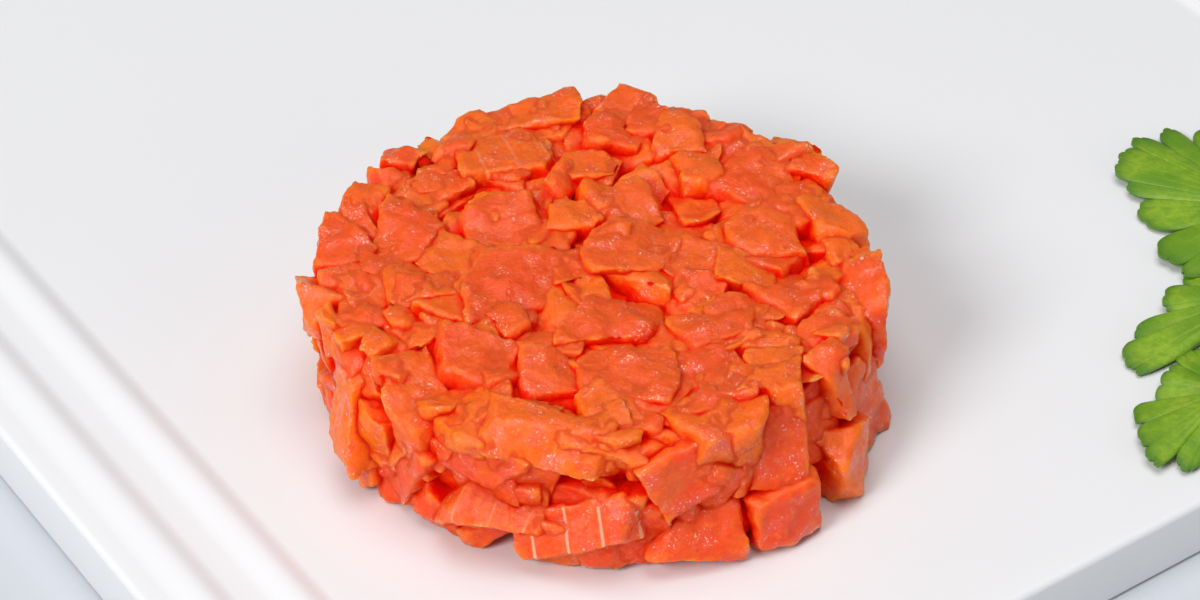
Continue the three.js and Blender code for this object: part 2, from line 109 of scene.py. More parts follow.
for name, light in LIGHTS.items():
    heading = math.radians(light["heading"])
    elevation = math.radians(light["elevation"])
    level = RIGHT * math.sin(heading) - LOOK * math.cos(heading)
    towards = level * math.cos(elevation) + UP * math.sin(elevation)
    data = bpy.data.lights.new(name, "AREA")
    data.shape = "DISK"
    data.size = light["size"]
    data.energy = light["power"]
    lamp = bpy.data.objects.new(name, data)
    lamp.location = DISC_FOOT + towards * light["distance"]
    lamp.rotation_euler = (-towards).to_track_quat("-Z", "Y").to_euler()
    bpy.context.scene.collection.objects.link(lamp)
    print(name, "light at", tuple(round(c, 2) for c in lamp.location))
world = bpy.data.worlds.new("room")
world.use_nodes = True
world.node_tree.nodes["Background"].inputs["Color"].default_value = (1, 1, 1, 1)
world.node_tree.nodes["Background"].inputs["Strength"].default_value = ROOM
bpy.context.scene.world = world
bpy.context.scene.view_settings.view_transform = "Standard"

# %% [markdown]
# ## Helpers for modelling
# Each piece is modelled as by hand: a primitive is added, then shaped in edit mode. A knife cut is
# the bisect operator, which slices everything that is selected and closes the cut with a new face.

# %% Helpers for modelling


def deselect_all():
    bpy.ops.object.select_all(action="DESELECT")


def pick(piece):
    """Makes one piece the only selected and active object."""
    deselect_all()
    piece.select_set(True)
    bpy.context.view_layer.objects.active = piece


def apply_modifiers(piece):
    """Applies a piece's modifiers in turn, with the later ones switched off until they are needed."""
    for modifier in piece.modifiers:
        modifier.show_viewport = False
    pick(piece)
    for modifier in list(piece.modifiers):
        modifier.show_viewport = True
        bpy.ops.object.modifier_apply(modifier=modifier.name)


def join(pieces, name):
    """Joins pieces into one object with this name."""
    deselect_all()
    for piece in pieces:
        piece.select_set(True)
    bpy.context.view_layer.objects.active = pieces[0]
    bpy.ops.object.join()
    whole = bpy.context.object
    whole.name = name
    whole.data.name = name
    return whole


def triangles(piece):
    return sum(len(face.vertices) - 2 for face in piece.data.polygons)


# %% [markdown]
# ## Helpers for materials
# Every finish here is a Principled shader with patterns feeding some of its sockets. A socket that
# stays the same all over is set as a plain value.

# %% Helpers for materials


def new_material(name, settings):
    """A material with a Principled shader, its plain values set by socket name."""
    material = bpy.data.materials.new(name)
    material.use_nodes = True
    shader = material.node_tree.nodes["Principled BSDF"]
    for socket, value in settings.items():
        shader.inputs[socket].default_value = value
    return material, material.node_tree, shader


def add_node(tree, kind, settings=None, links=None):
    """A node of this kind with its settings, fed by the sockets in links."""
    node = tree.nodes.new(kind)
    for key, value in (settings or {}).items():
        if key in node.inputs:
            node.inputs[key].default_value = value
        else:
            setattr(node, key, value)
    for key, source in (links or {}).items():
        tree.links.new(source, node.inputs[key])
    return node


def add_ramp(tree, source, stops):
    """A colour ramp through (position, colour) stops."""
    ramp = add_node(tree, "ShaderNodeValToRGB", links={"Fac": source})
    elements = ramp.color_ramp.elements
    elements[0].position, elements[0].color = stops[0]
    elements[1].position, elements[1].color = stops[-1]
    for position, colour in stops[1:-1]:
        elements.new(position).color = colour
    return ramp.outputs["Color"]


def mix_colours(tree, share, first, second):
    """Mixes two colours. Each may be a socket or a plain colour, and share is a socket."""
    node = add_node(tree, "ShaderNodeMix", {"data_type": "RGBA"})
    tree.links.new(share, node.inputs["Factor"])
    for key, value in (("A", first), ("B", second)):
        if isinstance(value, bpy.types.NodeSocket):
            tree.links.new(value, node.inputs[key])
        else:
            node.inputs[key].default_value = value
    return node.outputs["Result"]


def share_of(tree, source, low, high, most):
    """Turns a pattern's range from low to high into a share from 0 to most."""
    settings = {"From Min": low, "From Max": high, "To Max": most, "interpolation_type": "SMOOTHSTEP"}
    return add_node(tree, "ShaderNodeMapRange", settings, {"Value": source}).outputs["Result"]


def spread(tree, source, low, high):
    """Spreads a pattern from 0 to 1 over the range from low to high."""
    settings = {"To Min": low, "To Max": high}
    return add_node(tree, "ShaderNodeMapRange", settings, {"Value": source}).outputs["Result"]


def product(tree, first, second):
    node = add_node(tree, "ShaderNodeMath", {"operation": "MULTIPLY"}, {0: first, 1: second})
    return node.outputs["Value"]


def kept(tree, name):
    """The value that a piece's points keep under this name."""
    return add_node(tree, "ShaderNodeAttribute", {"attribute_name": name}).outputs["Fac"]


def bump(tree, height, strength, distance, under=None):
    """A bump of this height in metres, on top of the one under it."""
    links = {"Height": height}
    if under:
        links["Normal"] = under
    settings = {"Strength": strength, "Distance": distance}
    return add_node(tree, "ShaderNodeBump", settings, links).outputs["Normal"]


def noise(tree, vector, scale, detail=2.0, roughness=0.5):
    settings = {"Scale": scale, "Detail": detail, "Roughness": roughness}
    node = add_node(tree, "ShaderNodeTexNoise", settings, {"Vector": vector})
    return node.outputs["Fac"]


# %% [markdown]
# ## The plate
# The plate is a flat slab of white glazed ware with softly rounded edges. Two low beads run across
# each end, which keep a sauce or a roll from sliding off. A cube gives the slab. Its corners and
# edges are bevelled, then straight cuts are laid across the ends and the lines between the cuts are
# raised into rounded beads.

# %% Model the plate
BEAD = {"inset": 8.5, "pitch": 12, "outer": 5, "inner": 4, "height": 0.9}
BEAD_END = {"stop": 5, "taper": 9}
BEAD_CUTS = 12
CORNER_STEPS = 8
EDGE_STEPS = 5


def bead_rise(x, y):
    """How high the plate's top stands at one place, in millimetres, above its flat."""
    along = (PLATE["width"] / 2 - BEAD_END["stop"] - abs(y)) / BEAD_END["taper"]
    end_share = math.sin(math.pi / 2 * min(max(along, 0), 1))
    from_end = PLATE["length"] / 2 - abs(x)
    rise = 0
    for crest in (BEAD["inset"], BEAD["inset"] + BEAD["pitch"]):
        away = from_end - crest
        share = away / (BEAD["inner"] if away > 0 else BEAD["outer"])
        if abs(share) < 1:
            rise += BEAD["height"] * end_share * math.cos(math.pi / 2 * share) ** 2
    return rise


def bisect_here(point, normal, **options):
    bpy.ops.mesh.select_all(action="SELECT")
    bpy.ops.mesh.bisect(plane_co=point, plane_no=normal, **options)


def select_edges(piece, wanted):
    """In edit mode, selects the edges for which wanted(first end, second end) is true."""
    bpy.ops.mesh.select_all(action="DESELECT")
    bpy.ops.object.mode_set(mode="OBJECT")
    corners = piece.data.vertices
    for edge in piece.data.edges:
        edge.select = wanted(corners[edge.vertices[0]].co, corners[edge.vertices[1]].co)
    bpy.ops.object.mode_set(mode="EDIT")


deselect_all()
bpy.ops.mesh.primitive_cube_add(size=1, location=(0, 0, PLATE["thickness"] / 2 * MM))
plate = bpy.context.object
plate.name = "serving_plate"
plate.scale = Vector((PLATE["length"], PLATE["width"], PLATE["thickness"])) * MM
bpy.ops.object.transform_apply(location=True, rotation=True, scale=True)
bpy.ops.object.mode_set(mode="EDIT")
bpy.ops.mesh.select_mode(type="EDGE")
select_edges(plate, lambda a, b: abs(a.z - b.z) > PLATE["thickness"] / 2 * MM)
bpy.ops.mesh.bevel(offset=PLATE["corner"] * MM, segments=CORNER_STEPS, affect="EDGES")
select_edges(plate, lambda a, b: abs(a.z - b.z) < 1e-6)
bpy.ops.mesh.bevel(offset=PLATE["edge"] * MM, segments=EDGE_STEPS, affect="EDGES")

for side in (-1, 1):
    for crest in (BEAD["inset"], BEAD["inset"] + BEAD["pitch"]):
        for step in range(-BEAD_CUTS, BEAD_CUTS + 1):
            away = step / BEAD_CUTS * (BEAD["inner"] if step > 0 else BEAD["outer"])
            x = side * (PLATE["length"] / 2 - crest - away)
            bisect_here((x * MM, 0, 0), (1, 0, 0))
    for step in range(BEAD_CUTS + 1):
        y = side * (PLATE["width"] / 2 - BEAD_END["stop"] - BEAD_END["taper"] * step / BEAD_CUTS)
        bisect_here((0, y * MM, 0), (0, 1, 0))
bpy.ops.object.mode_set(mode="OBJECT")
for corner in plate.data.vertices:
    if corner.co.z > (PLATE["thickness"] - 0.01) * MM:
        corner.co.z += bead_rise(corner.co.x / MM, corner.co.y / MM) * MM
pick(plate)
bpy.ops.object.shade_smooth_by_angle(angle=math.radians(35))
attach(plate, "root")
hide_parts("plate")
print("plate:", triangles(plate), "triangles")

# %% [markdown]
# ## The plate's glaze
# The glaze is satin: it shows no clear mirror image, only a soft brightening. Real glaze is never
# quite even, so a broad noise makes it a little duller here and there, and a fine one gives the
# faint orange-peel of fired ware.

# %% Make the glaze
GLAZE = (0.785, 0.79, 0.805, 1)
GLAZE_SHADE = (0.765, 0.77, 0.785, 1)

glaze, tree, shader = new_material("satin_glaze", {"IOR": 1.5, "Coat Roughness": 0.3})
place = add_node(tree, "ShaderNodeTexCoord").outputs["Object"]
broad = noise(tree, place, 14, 2)
peel = noise(tree, place, 900, 2)
tree.links.new(mix_colours(tree, broad, GLAZE, GLAZE_SHADE), shader.inputs["Base Color"])
tree.links.new(spread(tree, broad, 0.36, 0.48), shader.inputs["Roughness"])
tree.links.new(bump(tree, peel, 0.15, 0.00005), shader.inputs["Normal"])
plate.data.materials.append(glaze)
print("glaze on", plate.name)

# %% [markdown]
# ## Laying the chopped pieces
# A knife leaves blocks with six cut faces, none of them quite parallel, and often a corner off. The
# upper pieces lie flat and close together, because a spoon pressed them. Lower down, the mould's
# wall pushed each piece to the cake's outline. The larger ones that stand out of the heap are placed
# one by one. The knife also leaves thin flakes, which lie on the top, and slivers, which fill the
# gaps in the side.
#
# The heap must be the same each time the script runs, so every random draw comes from one small
# number stream with a fixed seed.

# %% Sizes of the pieces
# sizes are a piece's length, width and thickness. Spread, scatter, lift and lean say how far the
# draws may move a value either way
CHOP = {"seed": 20417, "sizes": (12.4, 9.6, 8.2), "spread": 0.34, "taper": 0.32}
UPPER = {"spacing": 8.3, "scatter": 1.9, "reach": 39.5, "lift": 1.5, "sink": 0.9, "lean": 0.24}
RINGS = (
    {"height": 4.6, "count": 27, "depth": 4.6},
    {"height": 12.6, "count": 28, "depth": 4.9},
    {"height": 19.4, "count": 26, "depth": 5.6},
)
FLAKES = {"count": 64, "sizes": (8.8, 6.4, 3.4), "reach": 40, "height": 23.6, "lift": 0.8, "lean": 0.34}
SLIVERS = {"count": 110, "sizes": (10.5, 5.5, 4.6), "depth": 2.4, "height": 12, "scatter": 10}
RING_SCATTER = {"along": 1.6, "out": 0.9, "up": 1.5, "lean": 0.55}
CORNER_CUT = {"count": 4, "near": 0.56, "far": 0.88}
PRESS = {"offset": 0.9, "tilt": 0.1, "rim_drop": 1.2, "rim_width": 9}
WALL = {"offset": 1.2, "tilt": 0.2, "foot_bulge": 1.6, "flank": 0.28}
PROUD = {"up": 1.1, "out": 4.0}
# how far each kind's middle stays from a standout's middle
CLEAR = {"standout": 0, "upper": 3.8, "ring": 3.8, "flake": 0, "sliver": 3.4}
DRAWS = 34

# name: azimuth, distance out and height; length, width and thickness; heading, climb and lean
STANDOUTS = {
    "streaked block": ((-127, 41.3, 7.4), (22, 13, 9), (4, 9, 44)),
    "pale wedge": ((-145, 41, 7.6), (18, 12, 8), (-6, -4, 52)),
    "long flap": ((-134, 36.6, 20.8), (25, 13, 6.5), (-12, -15, 32)),
    "bean": ((-150, 40.6, 17.6), (15, 8, 8), (0, -22, 20)),
    "small cube": ((-80, 39.4, 21.8), (9, 8, 8.5), (25, -8, 12)),
    "upright sliver": ((-68, 42.6, 20), (5.5, 6, 14), (10, 6, 8)),
    "front right chunk": ((-86, 41.2, 15), (11, 9, 14), (4, 6, 10)),
    "foot lump": ((-87, 45.6, 5.4), (12.5, 10, 11), (-12, 8, 12)),
    "right foot lump": ((-68, 45, 5.6), (11, 9, 12), (8, -6, 10)),
    "tall piece": ((-58, 41, 10.5), (10, 9, 18), (8, -6, 6)),
    "front chunk": ((-106, 41, 16.8), (15, 9, 10), (6, 12, 24)),
    "front foot piece": ((-105, 42.6, 5), (14, 9, 10), (-8, -6, 20)),
    "middle foot piece": ((-115, 41.6, 6), (10, 8, 12), (0, 10, 16)),
    "right upper piece": ((-44, 41.2, 17), (11, 9, 13), (4, 8, 4)),
    "rim slab": ((0, 41.2, 20.8), (9, 3.8, 11), (20, 4, -6)),
    "right rim lump": ((-18, 39.4, 20.4), (11, 9, 9), (10, 6, -6)),
    "left lump": ((152, 43, 18.8), (11, 9, 8), (4, 6, 12)),
    "left upper piece": ((138, 41, 19.4), (12, 9, 11), (-6, 8, 10)),
    "left back piece": ((124, 40.6, 19.8), (9, 8, 11), (10, -8, 8)),
    "left bright piece": ((176, 43.2, 13.2), (9, 7, 15), (8, 14, 8)),
    "left foot piece": ((-168, 40, 8.2), (9, 9, 16), (-10, -24, 14)),
    "left low piece": ((172, 39.4, 7.2), (11, 9, 12), (8, -10, 10)),
    "first tooth": ((105.5, 42.4, 21.2), (5.5, 6, 11), (20, -6, 4)),
    "second tooth": ((113, 41.8, 20.4), (5, 6, 11), (-12, 10, 6)),
    "third tooth": ((95, 37.6, 21.4), (7, 5, 10), (10, 4, 2)),
    "back ridge": ((72, 40.6, 21.8), (19, 8, 7), (2, -5, -6)),
    "red cap": ((48, 41.2, 21.8), (10.5, 7, 7), (-8, 4, -10)),
    "orange lump": ((33, 36.2, 21.8), (8.5, 11, 9), (22, 2, 8)),
    "round lump": ((21, 29.3, 21.4), (7.5, 11, 8), (39, 6, 4)),
    "pale shelf": ((51, 34.1, 22.5), (11.5, 9, 6), (14, 4, 3)),
    "back slab": ((85, 31.7, 22), (16, 13, 7), (-10, -3, 2)),
    "right back slab": ((3, 33.3, 21.8), (15, 14, 7), (17, 4, -3)),
    "right slab": ((-20, 27, 22.2), (13.5, 12, 6.5), (75, 3, 3)),
    "middle slab": ((6, 6.3, 21.9), (15, 13, 7), (34, -3, 4)),
    "hole slab": ((112, 18.9, 21.7), (14, 12.5, 7), (-51, 4, -3)),
    "broad slab": ((168, 13, 22.2), (18, 12.5, 6.5), (79, -2, 3)),
    "front middle slab": ((-114, 13.8, 22.2), (16.5, 12, 7), (-6, 2, 6)),
    "left slab": ((133, 31.1, 21.9), (10.5, 13, 7), (82, 3, -5)),
    "bright block": ((56, 16.2, 21.4), (8, 8, 8), (-11, 5, -6)),
    "small wedge": ((72, 22.1, 21.6), (9.5, 5.5, 7), (33, 10, 10)),
    "front right slab": ((-77, 23.9, 22.4), (14, 9, 6), (-38, -4, 6)),
    "right small slab": ((-40, 23.8, 22.1), (10, 8.5, 6), (76, -4, 2)),
    "front slab": ((-114, 27.2, 21.9), (16, 12, 7), (-21, 3, 7)),
    "small slab": ((-145, 21, 22.3), (11, 7.5, 6), (15, 3, 8)),
    "diamond": ((-139, 28, 22), (11, 8.5, 6), (24, -4, 5)),
    "left front lump": ((-165, 30.2, 21.2), (14, 10, 8), (16, 6, 4)),
    "sunken piece": ((-69, 34.4, 20.6), (8.5, 10, 6), (-76, 2, 2)),
    "back right rim piece": ((9, 38.8, 20.7), (10, 7, 9), (21, 4, 4)),
}
print(len(STANDOUTS), "pieces placed by hand")

# %% Lay the pieces
STREAM = {"factor": 48271, "modulus": 2147483647}


def random_stream(seed):
    """A repeatable stream of numbers from -1 to 1 (Lehmer's generator)."""
    state = seed
    while True:
        state = state * STREAM["factor"] % STREAM["modulus"]
        yield 2 * state / STREAM["modulus"] - 1


def lay_pieces():
    """Every piece's middle, sizes, angles and own draws, in millimetres from the cake's foot."""
    stream = random_stream(CHOP["seed"])
    pieces = []

    def lay(kind, name, middle, sizes, angles):
        draws = [next(stream) for _ in range(DRAWS)]
        middle = Vector(middle)
        crowded = any(
            other["kind"] == "standout" and (other["middle"] - middle).length < CLEAR[kind]
            for other in pieces
        )
        if not crowded:
            piece = {"kind": kind, "name": name, "middle": middle, "sizes": sizes}
            pieces.append({**piece, "angles": angles, "draws": draws})

    def chopped():
        swell = 1 + 0.5 * CHOP["spread"] * next(stream)
        return [size * swell * (1 + CHOP["spread"] * next(stream)) for size in CHOP["sizes"]]

    for name, ((azimuth, out, up), sizes, (heading, climb, lean)) in STANDOUTS.items():
        at = math.radians(azimuth)
        middle = (out * math.cos(at), out * math.sin(at), up)
        angles = [math.radians(a) for a in (-lean, -climb, azimuth + 90 + heading)]
        lay("standout", name, middle, sizes, angles)

    row_step = UPPER["spacing"] * math.sqrt(0.75)
    rows = math.ceil(DISC["radius"] / row_step)
    for row in range(-rows, rows + 1):
        for column in range(-rows, rows + 1):
            shift = 0.5 if row % 2 else 0
            x = (column + shift) * UPPER["spacing"] + UPPER["scatter"] * next(stream)
            y = row * row_step + UPPER["scatter"] * next(stream)
            sizes = chopped()
            top = DISC["height"] - UPPER["sink"] + UPPER["lift"] * next(stream)
            leans = [UPPER["lean"] * next(stream), UPPER["lean"] * next(stream)]
            angles = [*leans, math.pi * next(stream)]
            if math.hypot(x, y) <= UPPER["reach"]:
                lay("upper", "", (x, y, top - sizes[2] / 2), sizes, angles)

    for ring in RINGS:
        for i in range(ring["count"]):
            out = DISC["radius"] - ring["depth"] + RING_SCATTER["out"] * next(stream)
            at = 2 * math.pi * i / ring["count"] + RING_SCATTER["along"] / DISC["radius"] * next(stream)
            up = ring["height"] + RING_SCATTER["up"] * next(stream)
            sizes = chopped()
            angles = [RING_SCATTER["lean"] * next(stream) for _ in range(3)]
            angles[2] += at + math.pi / 2
            lay("ring", "", (out * math.cos(at), out * math.sin(at), up), sizes, angles)

    for _ in range(FLAKES["count"]):
        out = FLAKES["reach"] * math.sqrt(abs(next(stream)))
        at = math.pi * next(stream)
        up = FLAKES["height"] + FLAKES["lift"] * next(stream)
        sizes = [size * (1 + CHOP["spread"] * next(stream)) for size in FLAKES["sizes"]]
        leans = [FLAKES["lean"] * next(stream), FLAKES["lean"] * next(stream)]
        angles = [*leans, math.pi * next(stream)]
        lay("flake", "", (out * math.cos(at), out * math.sin(at), up), sizes, angles)

    for _ in range(SLIVERS["count"]):
        out = DISC["radius"] - SLIVERS["depth"] + RING_SCATTER["out"] * next(stream)
        at = math.pi * next(stream)
        up = SLIVERS["height"] + SLIVERS["scatter"] * next(stream)
        sizes = [size * (1 + CHOP["spread"] * next(stream)) for size in SLIVERS["sizes"]]
        upright = math.pi / 2 + RING_SCATTER["lean"] * next(stream)
        angles = [upright, math.pi * next(stream), at + math.pi / 2]
        lay("sliver", "", (out * math.cos(at), out * math.sin(at), up), sizes, angles)
    return pieces


heap = lay_pieces()
kinds = sorted({piece["kind"] for piece in heap})
print({kind: sum(piece["kind"] == kind for piece in heap) for kind in kinds})

# %% [markdown]
# ## The faces of one piece
# Each face is a plane: a point on it, and the direction that is cut away. Six come from the knife,
# four take corners off, one is the plate, one is the press, and three are the mould's wall, which
# was round, so a wide piece also needs the wall's next stretches.

# %% Find the faces of one piece


def sign(value):
    return (value > 0) - (value < 0)


def faces_of(piece):
    """The planes that bound a piece, each (point, outward normal)."""
    middle, sizes = piece["middle"], piece["sizes"]
    wall_offset, wall_turn, wall_tilt, *left = piece["draws"]
    draw = left.pop
    turned = Euler(piece["angles"], "XYZ").to_matrix()
    axes = [turned.col[axis].copy() for axis in range(3)]
    faces = []

    for axis in range(3):
        for side in (-1, 1):
            normal = axes[axis] * side
            normal += axes[(axis + 1) % 3] * CHOP["taper"] * draw()
            normal += axes[(axis + 2) % 3] * CHOP["taper"] * draw()
            faces.append((middle + axes[axis] * side * sizes[axis] / 2, normal.normalized()))

    for _ in range(CORNER_CUT["count"]):
        to_corner = Vector()
        for axis in range(3):
            to_corner += axes[axis] * sign(draw()) * sizes[axis] / 2
        share = CORNER_CUT["near"] + (CORNER_CUT["far"] - CORNER_CUT["near"]) * abs(draw())
        faces.append((middle + to_corner * share, to_corner.normalized()))

    faces.append((Vector((0, 0, DISC["clearance"])), Vector((0, 0, -1))))

    stands_out = piece["kind"] == "standout"
    radius = math.hypot(middle.x, middle.y)
    azimuth = math.atan2(middle.y, middle.x)
    rim = max(0, (radius - DISC["radius"] + PRESS["rim_width"]) / PRESS["rim_width"])
    pressed = PRESS["offset"] * draw() - PRESS["rim_drop"] * rim * rim
    top = DISC["height"] + (PROUD["up"] if stands_out else pressed)
    up = Vector((PRESS["tilt"] * draw(), PRESS["tilt"] * draw(), 1)).normalized()
    faces.append((Vector((middle.x, middle.y, top)), up))

    bulge = WALL["foot_bulge"] * (1 - middle.z / DISC["height"])
    wall = DISC["radius"] + bulge + (PROUD["out"] if stands_out else WALL["offset"] * wall_offset)
    for flank, tilt in ((-WALL["flank"], 0), (0, WALL["tilt"]), (WALL["flank"], 0)):
        at = azimuth + flank
        facing = at + tilt * wall_turn
        outward = Vector((math.cos(facing), math.sin(facing), tilt * wall_tilt)).normalized()
        faces.append((Vector((wall * math.cos(at), wall * math.sin(at), middle.z)), outward))
    return faces


print(len(faces_of(heap[0])), "planes bound each piece")

# %% [markdown]
# ## Cutting a piece
# Each piece is cut from its own cube on the chopping board, lying square to its grain, and only
# then moved to its place in the heap. That order matters twice. The noise that makes the faces
# uneven differs from piece to piece, because each has its own place on the board. And the board
# place is kept on every point as an attribute called grain, so the material's fibres later run
# along each piece and turn with it.
#
# The cuts are sharp, and raw fish isn't: a bevel rounds the edges, and a voxel remesh gives an even
# skin. Three displacements make that skin wavy, then flaky, then slightly torn, and a decimation
# takes out the points that the shape doesn't need.

# %% Helpers for cutting a piece
BOARD = {"columns": 13, "pitch": 30}
BLOCK_SIZE = 2.4
SKIN = {"round": 0.3, "voxel": 0.44, "keep": 0.33}
RELIEFS = (
    {"name": "waves", "size": 4.8, "height": 1.7},
    {"name": "flakes", "size": 3.0, "height": 0.4},
    {"name": "tears", "size": 1.4, "height": 0.45},
)
# how much of its fat lines a piece shows
FAT_OF = {"streaked block": 1.0, "pale wedge": 0.4, "back slab": 0.4}


def relief_texture(name, size):
    """A pattern for a displacement: soft clouds, or for the flakes a net of cells."""
    texture = bpy.data.textures.new(name, "VORONOI" if name == "flakes" else "CLOUDS")
    texture.noise_scale = size * MM
    if name == "flakes":
        texture.weight_1 = -1
        texture.weight_2 = 1
    else:
        texture.noise_depth = 1
    return texture


for relief in RELIEFS:
    relief["texture"] = relief_texture(relief["name"], relief["size"])
pressed = bpy.data.collections.new("pressed")


def roughen(block):
    """Gives a block its even skin, and the reliefs on it."""
    skin = block.modifiers.new("skin", "REMESH")
    skin.mode = "VOXEL"
    skin.voxel_size = SKIN["voxel"] * MM
    for relief in RELIEFS:
        bumps = block.modifiers.new(relief["name"], "DISPLACE")
        bumps.texture = relief["texture"]
        bumps.texture_coords = "LOCAL"
        bumps.strength = relief["height"] * MM
        bumps.mid_level = 0.3 if relief["name"] == "flakes" else 0.5
    thin = block.modifiers.new("thin", "DECIMATE")
    thin.ratio = SKIN["keep"]
    apply_modifiers(block)


def keep_grain(mesh, draw, fat=0.0):
    """Keeps each point's place on the board in millimetres, and the piece's own tone and fat."""
    places = [0.0] * (3 * len(mesh.vertices))
    mesh.vertices.foreach_get("co", places)
    grain = mesh.attributes.new("grain", "FLOAT_VECTOR", "POINT")
    grain.data.foreach_set("vector", [value / MM for value in places])
    for name, value in (("tone", 0.5 + 0.5 * draw), ("fat", fat)):
        attribute = mesh.attributes.new(name, "FLOAT", "POINT")
        attribute.data.foreach_set("value", [value] * len(mesh.vertices))


def cut_piece(index, piece):
    """Cuts one piece on the board, softens it, and lays it in the heap."""
    board = Vector((index % BOARD["columns"], index // BOARD["columns"], 0)) * BOARD["pitch"] * MM
    in_heap = Matrix.Translation(DISC_FOOT + piece["middle"] * MM)
    in_heap @= Euler(piece["angles"], "XYZ").to_matrix().to_4x4()
    to_heap = in_heap @ Matrix.Translation(-board)
    to_board = to_heap.inverted()

    deselect_all()
    bpy.ops.mesh.primitive_cube_add(size=BLOCK_SIZE * max(piece["sizes"]) * MM, location=board)
    block = bpy.context.object
    bpy.ops.object.transform_apply(location=True, rotation=False, scale=False)
    bpy.ops.object.mode_set(mode="EDIT")
    for point, normal in faces_of(piece):
        on_board = to_board @ (DISC_FOOT + point * MM)
        turned = to_board.to_3x3() @ normal
        bisect_here(on_board, turned, use_fill=True, clear_outer=True)
    bpy.ops.object.mode_set(mode="OBJECT")
    if not block.data.vertices:
        bpy.data.objects.remove(block)
        return None

    edges = block.modifiers.new("edges", "BEVEL")
    edges.width = SKIN["round"] * MM
    edges.segments = 2
    edges.limit_method = "NONE"
    roughen(block)
    keep_grain(block.data, piece["draws"][0], FAT_OF.get(piece["name"], 0.0))
    block.data.transform(to_heap)
    block.users_collection[0].objects.unlink(block)
    pressed.objects.link(block)
    return block


print("a piece's skin has a point every", SKIN["voxel"], "mm")

# %% Cut every piece
blocks = [cut_piece(index, piece) for index, piece in enumerate(heap)]
blocks = [block for block in blocks if block]
print(len(blocks), "pieces cut,", sum(triangles(block) for block in blocks), "triangles")

# %% [markdown]
# ## The core
# Behind the pieces that show is more of the same. It is only glimpsed through the gaps, so it is
# one plain round block, a little smaller than the cake.

# %% Model the core
CORE = {"inset": 4.4, "depth": 4.0, "chamfer": 1.5, "sides": 96}

deselect_all()
core_height = DISC["height"] - CORE["depth"] - DISC["clearance"]
core_middle = DISC_FOOT + Vector((0, 0, DISC["clearance"] + core_height / 2)) * MM
bpy.ops.mesh.primitive_cylinder_add(
    vertices=CORE["sides"],
    radius=(DISC["radius"] - CORE["inset"]) * MM,
    depth=core_height * MM,
    location=core_middle,
)
core = bpy.context.object
bpy.ops.object.transform_apply(location=True, rotation=False, scale=False)
rounded = core.modifiers.new("rounded", "BEVEL")
rounded.width = CORE["chamfer"] * MM
rounded.segments = 3
apply_modifiers(core)
keep_grain(core.data, 0)
print("core:", triangles(core), "triangles")

# %% [markdown]
# ## Pressing the heap together
# Chopped raw fish is sticky: once pressed, the pieces touch everywhere, and light passes from one
# into the next. A union gives exactly that. The pieces and the core become one body, the faces
# inside it vanish, and a crisp crease is left wherever two pieces meet.

# %% Press the heap together
bpy.context.scene.collection.children.link(pressed)
tartare = core
tartare.name = "chopped_salmon"
union = tartare.modifiers.new("union", "BOOLEAN")
union.operation = "UNION"
union.solver = "MANIFOLD"
union.operand_type = "COLLECTION"
union.collection = pressed
apply_modifiers(tartare)
for block in blocks:
    bpy.data.objects.remove(block)
bpy.data.collections.remove(pressed)
pick(tartare)
bpy.ops.object.shade_smooth_by_angle(angle=SMOOTH_BELOW)
print("heap:", triangles(tartare), "triangles")

# %% [markdown]
# ## Creases and thin edges
# In a crease the light has gone through flesh many times, so it is a deep clear red, and the
# creases get a painted shade of deep red. A thin edge lets light straight through, so it gets a
# painted peach glow. The upper side catches the whole room on its moist skin, so it gets a painted
# milky sheen. The heap needs to know all three, so short rays are cast from every point: outwards,
# where meeting flesh means shelter, and inwards, where leaving it again means a thin edge.

# %% Find the creases and the thin edges
SHELTER = {"name": "shelter", "side": 1, "reach": 4.5, "rays": 14}
THINNESS = {"name": "thinness", "side": -1, "reach": 2.4, "rays": 10}
RAY_START = 0.06


def fan_of_rays(count):
    """Directions spread evenly over the upper half of a ball."""
    rays = []
    for i in range(count):
        rise = (i + 0.5) / count
        turn = i * math.pi * (3 - math.sqrt(5))
        aside = math.sqrt(1 - rise * rise)
        rays.append(Vector((aside * math.cos(turn), aside * math.sin(turn), rise)))
    return rays


def keep_meetings(piece, surface, kind):
    """Keeps on each point the share of its rays on one side that meet the surface within reach."""
    rays = [kind["side"] * ray for ray in fan_of_rays(kind["rays"])]
    shares = []
    for corner in piece.data.vertices:
        turn = corner.normal.to_track_quat("Z", "Y")
        start = corner.co + corner.normal * kind["side"] * RAY_START * MM
        hits = [surface.ray_cast(start, turn @ ray, kind["reach"] * MM)[0] for ray in rays]
        shares.append(sum(hit is not None for hit in hits) / len(rays))
    piece.data.attributes.new(kind["name"], "FLOAT", "POINT").data.foreach_set("value", shares)
    return sum(shares) / len(shares)


surface = BVHTree.FromObject(tartare, bpy.context.evaluated_depsgraph_get())
for kind in (SHELTER, THINNESS):
    print("mean", kind["name"], round(keep_meetings(tartare, surface, kind), 2))
upward = [corner.normal.z for corner in tartare.data.vertices]
tartare.data.attributes.new("upward", "FLOAT", "POINT").data.foreach_set("value", upward)

# %% [markdown]
# ## The salmon
# Raw salmon is translucent. Light goes in, is scattered, and comes out a millimetre or more away,
# redder than it went in, so thin edges glow orange and creases turn a deep red. That is subsurface
# scattering, with red travelling furthest. On top is a thin film of moisture, which gives small
# bright glints where the surface is bumpy and a faint pale sheen where it is flat.

